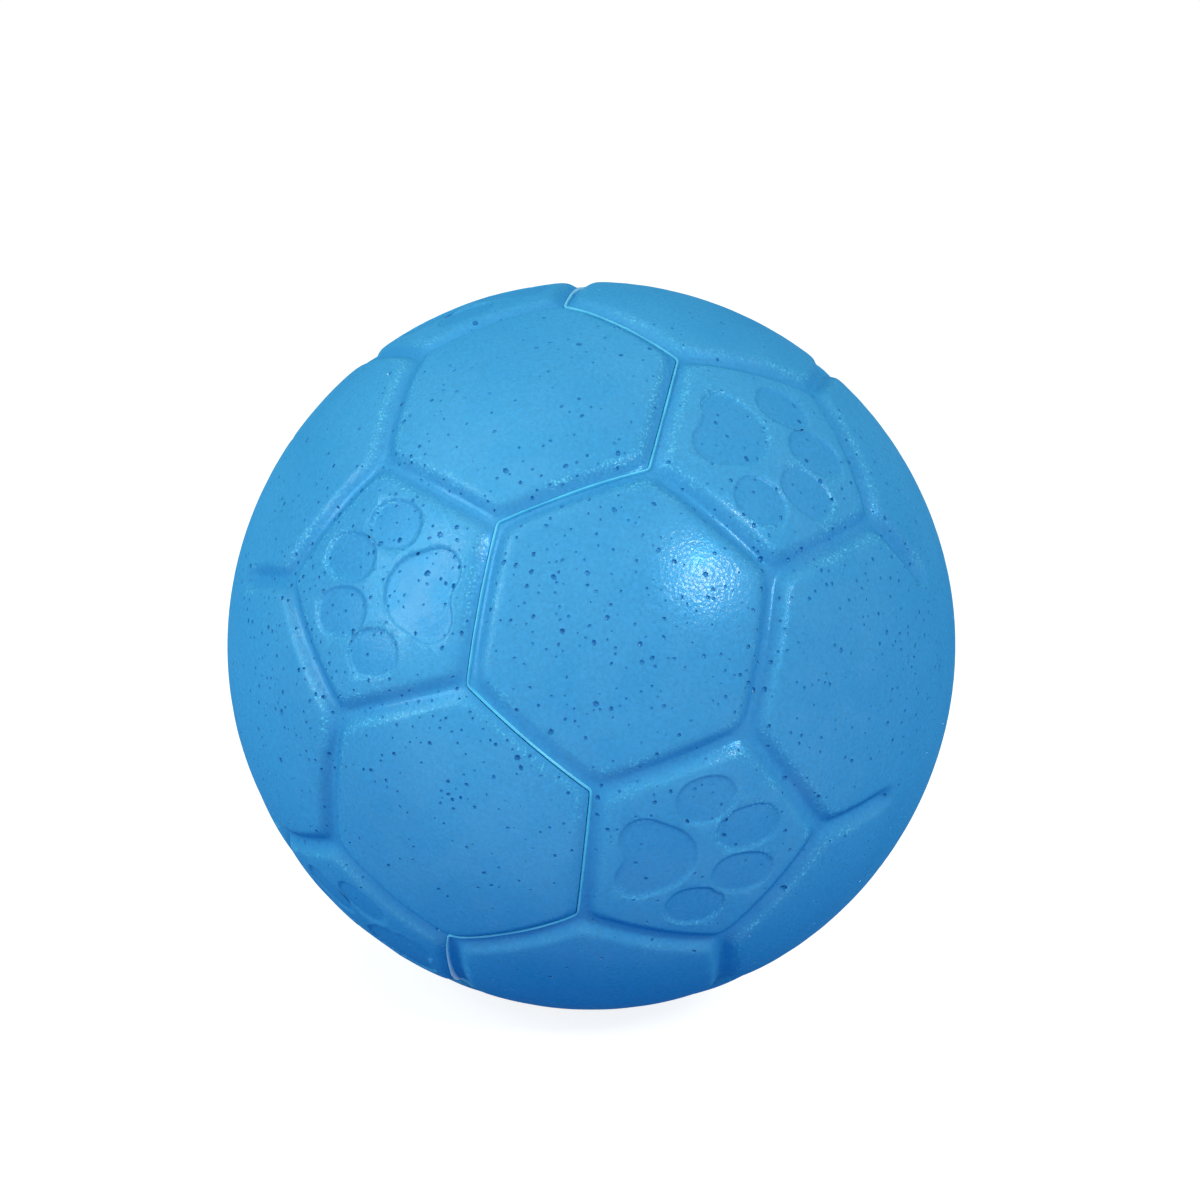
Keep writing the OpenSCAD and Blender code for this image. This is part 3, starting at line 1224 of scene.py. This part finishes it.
        # Painted shade inside the pits, on the outer skin only.
        pit_shade = np.clip((below - self.pit_shade_from) / self.pit_shade_run, 0, 1) * skin
        set_attribute(piece, "lip", np.maximum(lip, np.exp(-((margin / self.print_edge_w) ** 2))))
        set_attribute(piece, "low", np.maximum(self.print_low * pressed, groove))
        set_attribute(piece, "pit_shade", pit_shade)
        piece.data.shade_smooth()
        piece.data.set_sharp_from_angle(angle=math.radians(self.crease))

    def dress(self, piece: bpy.types.Object, finish: bpy.types.Material) -> None:
        """Gives the half its finish, its body and its node.

        Args:
            piece: The half.
            finish: Its material.
        """
        piece.data.materials.clear()
        piece.data.materials.append(finish)
        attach(piece, "root")
        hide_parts(self.node)


@dataclass
class SeamRim:
    """The thin layer between the halves, with a rim that stands proud all round the ball."""

    shape: BallShape
    seam: SeamLine
    rim_h: float = 0.22
    rim_half: float = 0.12
    dip: float = -0.35
    narrowest: float = 0.45
    slow_swell: float = 0.3
    quick_swell: float = 0.18
    crease: float = 50.0

    def build(self) -> bpy.types.Object:
        """Makes the rim: a closed profile carried along the seam.

        The profile's points lie x across the seam and at a height that is a share of the way from the
        hollow to the surface, plus a rise above it. Width and rise vary a little along the line.

        Returns:
            The rim.
        """
        seam, shape = self.seam, self.shape
        q = seam.line
        surface = shape.radius(q)
        full = shape.fullness(q)
        slow = self.slow_swell * ripple(q, seed=31, waves=14.0)
        quick = self.quick_swell * ripple(q, seed=37, waves=60.0)
        strength = (1 + slow + quick) * full
        half, w, dip = seam.gap_half, self.rim_half, self.dip
        left = [-half, -half, -half, 0.03 - w, -w, -w * 0.8, -w * 0.3]
        right = [w * 0.3, w * 0.8, w, half, half, half]
        x = np.array(left + right)
        share = np.array([0, 0.5, 1, 1, 1, 1, 1, 1, 1, 1, 1, 0.5, 0])
        rise = np.array([0.05, 0, dip, dip + 0.03, 0.3, 0.75, 1, 1, 0.75, 0.3, -0.02, 0, 0.05])
        lift = np.where((share == 1) & (rise > 0), rise * self.rim_h * strength[:, None], rise)
        narrowed = self.narrowest + (1 - self.narrowest) * full[:, None]
        x = x * np.where(np.abs(x) < half, narrowed, 1.0)
        r = shape.hollow_r + (surface - shape.hollow_r)[:, None] * share + lift
        points = r[..., None] * q[:, None] + x[..., None] * seam.across[:, None]
        closed = np.vstack([points, points[:1]])
        quads = grid_quads(len(closed), len(share), closed=True)
        piece = new_mesh("seam_bond", *weld(closed.reshape(-1, 3), quads))
        piece.data.shade_smooth()
        piece.data.set_sharp_from_angle(angle=math.radians(self.crease))
        return piece

    def dress(self, piece: bpy.types.Object, finish: bpy.types.Material) -> None:
        """Gives the rim its finish, its body and its node.

        Args:
            piece: The rim.
            finish: Its material.
        """
        piece.data.materials.append(finish)
        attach(piece, "root")
        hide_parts("seam_bond")


@dataclass
class FoamFilling:
    """The round foam core inside the covers."""

    core_r: float = 30.3
    unevenness: float = 0.02
    rows: int = 96
    columns: int = 160

    def build(self) -> bpy.types.Object:
        """Makes the core: a slightly uneven globe of rows and columns, with closed poles.

        Returns:
            The core.
        """
        v = np.linspace(0, math.pi, self.rows)
        u = np.linspace(0, 2 * math.pi, self.columns, endpoint=False)
        vv, uu = np.meshgrid(v, u, indexing="ij")
        q = np.stack([np.sin(vv) * np.cos(uu), np.sin(vv) * np.sin(uu), np.cos(vv)], -1)
        q[0], q[-1] = (0, 0, 1), (0, 0, -1)
        r = self.core_r + self.unevenness * ripple(q, seed=41, waves=25.0)
        quads = grid_quads(self.rows, self.columns, closed=True)[:, ::-1]
        piece = new_mesh("foam_core", *weld((q * r[..., None]).reshape(-1, 3), quads))
        piece.data.shade_smooth()
        return piece

    def dress(self, piece: bpy.types.Object, finish: bpy.types.Material) -> None:
        """Gives the core its finish, its body and its node.

        Args:
            piece: The core.
            finish: Its material.
        """
        piece.data.materials.append(finish)
        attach(piece, "root")
        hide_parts("foam_core")


@dataclass(frozen=True)
class SoftBox:
    """A soft studio lamp, its direction from the ball in the camera's axes. Lengths are in metres."""

    name: str
    direction: Triple
    distance: float
    width: float
    height: float
    power: float
    colour: Triple


@dataclass
class Studio:
    """Camera, soft boxes, surroundings and floor.

    The camera's distance is in metres, its lens and sensor and the floor's sizes in millimetres.
    """

    azimuth: float = 6.6
    elevation: float = 14.45
    roll: float = -7.65
    distance: float = 0.2885
    lens: float = 83.28
    sensor: float = 36.0
    clip: tuple[float, float] = (0.01, 20.0)
    middle_px: tuple[float, float] = (591.6, 645.0)
    frame_px: float = 1200.0
    floor_z: float = -BALL_R
    floor_reach: float = 4000.0
    floor_points: int = 9
    bounce: Rgba = (0.06, 0.28, 0.58, 1.0)
    floor_grey: Rgba = (0.4, 0.4, 0.4, 1.0)
    floor_glow: float = 0.84
    fill: Rgba = (0.72, 0.97, 1.0, 1.0)
    fill_low: float = 0.86
    fill_top: float = 0.42
    white: Rgba = (1.0, 1.0, 1.0, 1.0)
    boxes: tuple[SoftBox, ...] = (
        SoftBox("right_box", (0.54, 0.35, 0.765), 0.6, 0.1, 0.1, 1.6, (1.0, 1.0, 0.8)),
        SoftBox("upper_left_box", (-0.53, 0.71, 0.465), 0.6, 0.5, 0.5, 0.8, (0.72, 1.0, 0.78)),
        SoftBox("left_box", (-0.79, 0.27, 0.55), 0.6, 0.26, 0.32, 1.72, (1.0, 1.0, 0.74)),
    )

    def axes(self) -> Matrix:
        """The camera's axes when it looks straight at the ball.

        Returns:
            Its right, up and back, as columns.
        """
        a, e, t = (math.radians(x) for x in (self.azimuth, self.elevation, self.roll))
        right = Vector((math.cos(a), math.sin(a), 0))
        up = Vector((-math.sin(e) * math.sin(a), math.sin(e) * math.cos(a), math.cos(e)))
        back = Vector((math.sin(a) * math.cos(e), -math.cos(a) * math.cos(e), math.sin(e)))
        turned = (right * math.cos(t) - up * math.sin(t), up * math.cos(t) + right * math.sin(t), back)
        return Matrix(turned).transposed()

    def camera(self) -> None:
        """Sets the camera, turned a little so that the ball's middle falls on its place in the frame."""
        lens_px = self.lens / self.sensor * self.frame_px
        x, y = self.middle_px
        seen = Vector((x - self.frame_px / 2, self.frame_px / 2 - y, -lens_px)).normalized()
        turn: Quaternion = Vector((0, 0, -1)).rotation_difference(seen)
        axes = self.axes()
        data = bpy.data.cameras.new("camera")
        data.lens = self.lens
        data.sensor_width = self.sensor
        data.clip_start, data.clip_end = self.clip
        made = bpy.data.objects.new("camera", data)
        made.matrix_world = Matrix.Translation(axes.col[2] * self.distance) @ (
            axes @ turn.to_matrix().transposed()
        ).to_4x4()
        bpy.context.scene.collection.objects.link(made)
        bpy.context.scene.camera = made

    def lamps(self) -> None:
        """Places the soft boxes, each facing the ball."""
        axes = self.axes()
        for box in self.boxes:
            data = bpy.data.lights.new(box.name, "AREA")
            data.shape = "RECTANGLE"
            data.size, data.size_y = box.width, box.height
            data.energy = box.power
            data.color = box.colour
            way = (axes @ Vector(box.direction)).normalized()
            made = bpy.data.objects.new(box.name, data)
            made.location = way * box.distance
            made.rotation_mode = "QUATERNION"
            made.rotation_quaternion = (-way).to_track_quat("-Z", "Y")
            bpy.context.scene.collection.objects.link(made)

    def surroundings(self) -> None:
        """A white room: full white to the camera and in gloss, and a softer light on the ball.

        The softer light is brighter near the horizon than overhead.
        """
        g = Graph(bpy.data.worlds.new("white_room"))
        way = g.add("ShaderNodeTexCoord").outputs["Generated"]
        height = g.add("ShaderNodeSeparateXYZ", {0: way}).outputs["Z"]
        strength = g.span(height, 0.0, 1.0, self.fill_low, self.fill_top)
        soft = g.add("ShaderNodeBackground", {"Color": self.fill, "Strength": strength})
        plain = g.add("ShaderNodeBackground", {"Color": self.white, "Strength": 1.0})
        both = g.add("ShaderNodeMixShader", {0: g.seen(), 1: soft.outputs[0], 2: plain.outputs[0]})
        bpy.context.scene.world = g.finish(both.outputs[0])

    def floor(self) -> None:
        """A plain white floor that keeps a faint shadow."""
        g = Graph(bpy.data.materials.new("white_floor"))
        hidden = g.add("ShaderNodeBsdfDiffuse", {"Color": self.bounce})
        shadow = g.add("ShaderNodeBsdfDiffuse", {"Color": self.floor_grey})
        glow = g.add("ShaderNodeEmission", {"Color": self.white, "Strength": self.floor_glow})
        shown = g.add("ShaderNodeAddShader", {0: shadow.outputs[0], 1: glow.outputs[0]})
        both = g.add("ShaderNodeMixShader", {0: g.seen(), 1: hidden.outputs[0], 2: shown.outputs[0]})
        count = self.floor_points
        line = np.linspace(-self.floor_reach, self.floor_reach, count)
        x, y = np.meshgrid(line, line)
        points = np.stack([x, y, np.full_like(x, self.floor_z)], -1).reshape(-1, 3)
        made = new_mesh("floor", points, grid_quads(count, count), np.zeros((0, 3), int))
        made.data.materials.append(g.finish(both.outputs[0]))

    def build(self) -> None:
        """Sets up the whole studio."""
        view = bpy.context.scene.view_settings
        view.view_transform = "Standard"
        self.camera()
        self.lamps()
        self.surroundings()
        self.floor()


def report(piece: bpy.types.Object) -> None:
    """Logs a piece's name and its number of triangles.

    Args:
        piece: The piece.
    """
    mesh = piece.data
    mesh.calc_loop_triangles()
    LOG.info("%s: %d triangles", piece.name, len(mesh.loop_triangles))


def main() -> None:
    """Builds the ball's pieces and the studio."""
    logging.basicConfig(level=logging.INFO, format="%(name)s %(message)s")
    pattern = PanelPattern()
    shape = BallShape(pattern)
    seam = SeamLine(pattern)
    prints = PawPrint()
    pinholes = Pinholes()
    pits = pinholes.scatter(shape, seam, prints)
    rubber = FoamRubber().make()
    for half in Half:
        cover = CoverHalf(half, shape, seam, prints, pinholes)
        piece = cover.build(pits)
        cover.dress(piece, rubber)
        report(piece)
    rim = SeamRim(shape, seam)
    piece = rim.build()
    rim.dress(piece, SeamRubber().make())
    report(piece)
    core = FoamFilling()
    piece = core.build()
    core.dress(piece, CoreFoam().make())
    report(piece)
    Studio().build()


if __name__ == "__main__":
    main()
